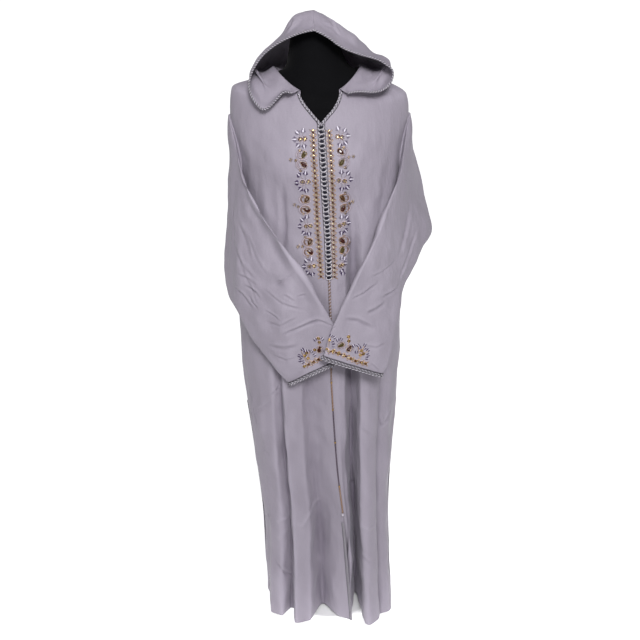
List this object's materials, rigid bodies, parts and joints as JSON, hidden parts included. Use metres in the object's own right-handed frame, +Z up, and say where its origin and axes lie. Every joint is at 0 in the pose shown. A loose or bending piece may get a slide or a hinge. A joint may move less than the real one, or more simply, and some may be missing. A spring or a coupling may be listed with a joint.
{
  "type": "djellaba robe on a dress form",
  "caption": "Long hooded robe with crossed empty sleeves, a buttoned V neck and beaded front trims, hung on a limbless dress form with a pole and a round foot",
  "frame": {"origin": "on the floor at the middle of the stand's round foot, which is under the middle of the dress form", "axes": "+Z up; the wearer faces -Y; +X is the wearer's left"},
  "size_m": [0.5296, 0.3761, 1.6047],
  "materials": {
    "robe_cloth": "soft matte crepe, lilac grey",
    "braid": "twisted silver-lilac cord",
    "buttons": "knotted silk, slight sheen",
    "bead_trim": "gold and copper beadwork",
    "form_cover": "black jersey over a shell",
    "steel": "pale satin paint"
  },
  "bodies": {
    "root": {"front_right": "robe_cloth", "front_left": "robe_cloth", "back": "robe_cloth", "sleeve_right": "robe_cloth", "sleeve_left": "robe_cloth", "hood_right": "robe_cloth", "hood_left": "robe_cloth", "cuff_braid_right": "braid", "cuff_braid_left": "braid", "hood_cord_right": "braid", "hood_cord_left": "braid", "front_braid_right": "braid", "front_braid_left": "braid", "slit_braid_right": "braid", "side_braid_right": "braid", "side_braid_left": "braid", "lattice_trim_right": "bead_trim", "lattice_trim_left": "bead_trim", "front_cord": "bead_trim", "button_01": "buttons", "button_02": "buttons", "button_03": "buttons", "button_04": "buttons", "button_05": "buttons", "button_06": "buttons", "button_07": "buttons", "button_08": "buttons", "button_09": "buttons", "button_10": "buttons", "button_11": "buttons", "button_12": "buttons", "button_13": "buttons", "button_14": "buttons", "button_15": "buttons", "button_16": "buttons", "button_17": "buttons", "button_18": "buttons", "button_19": "buttons", "button_20": "buttons", "button_21": "buttons", "button_22": "buttons", "button_23": "buttons", "button_24": "buttons", "button_25": "buttons", "button_26": "buttons", "button_27": "buttons", "button_28": "buttons", "button_29": "buttons", "button_30": "buttons", "button_31": "buttons", "button_32": "buttons", "button_33": "buttons", "button_34": "buttons", "button_35": "buttons", "cord_end_bead": "buttons", "dress_form": "form_cover", "stand_foot": "steel", "stand_pole": "steel"}
  },
  "joints": []
}
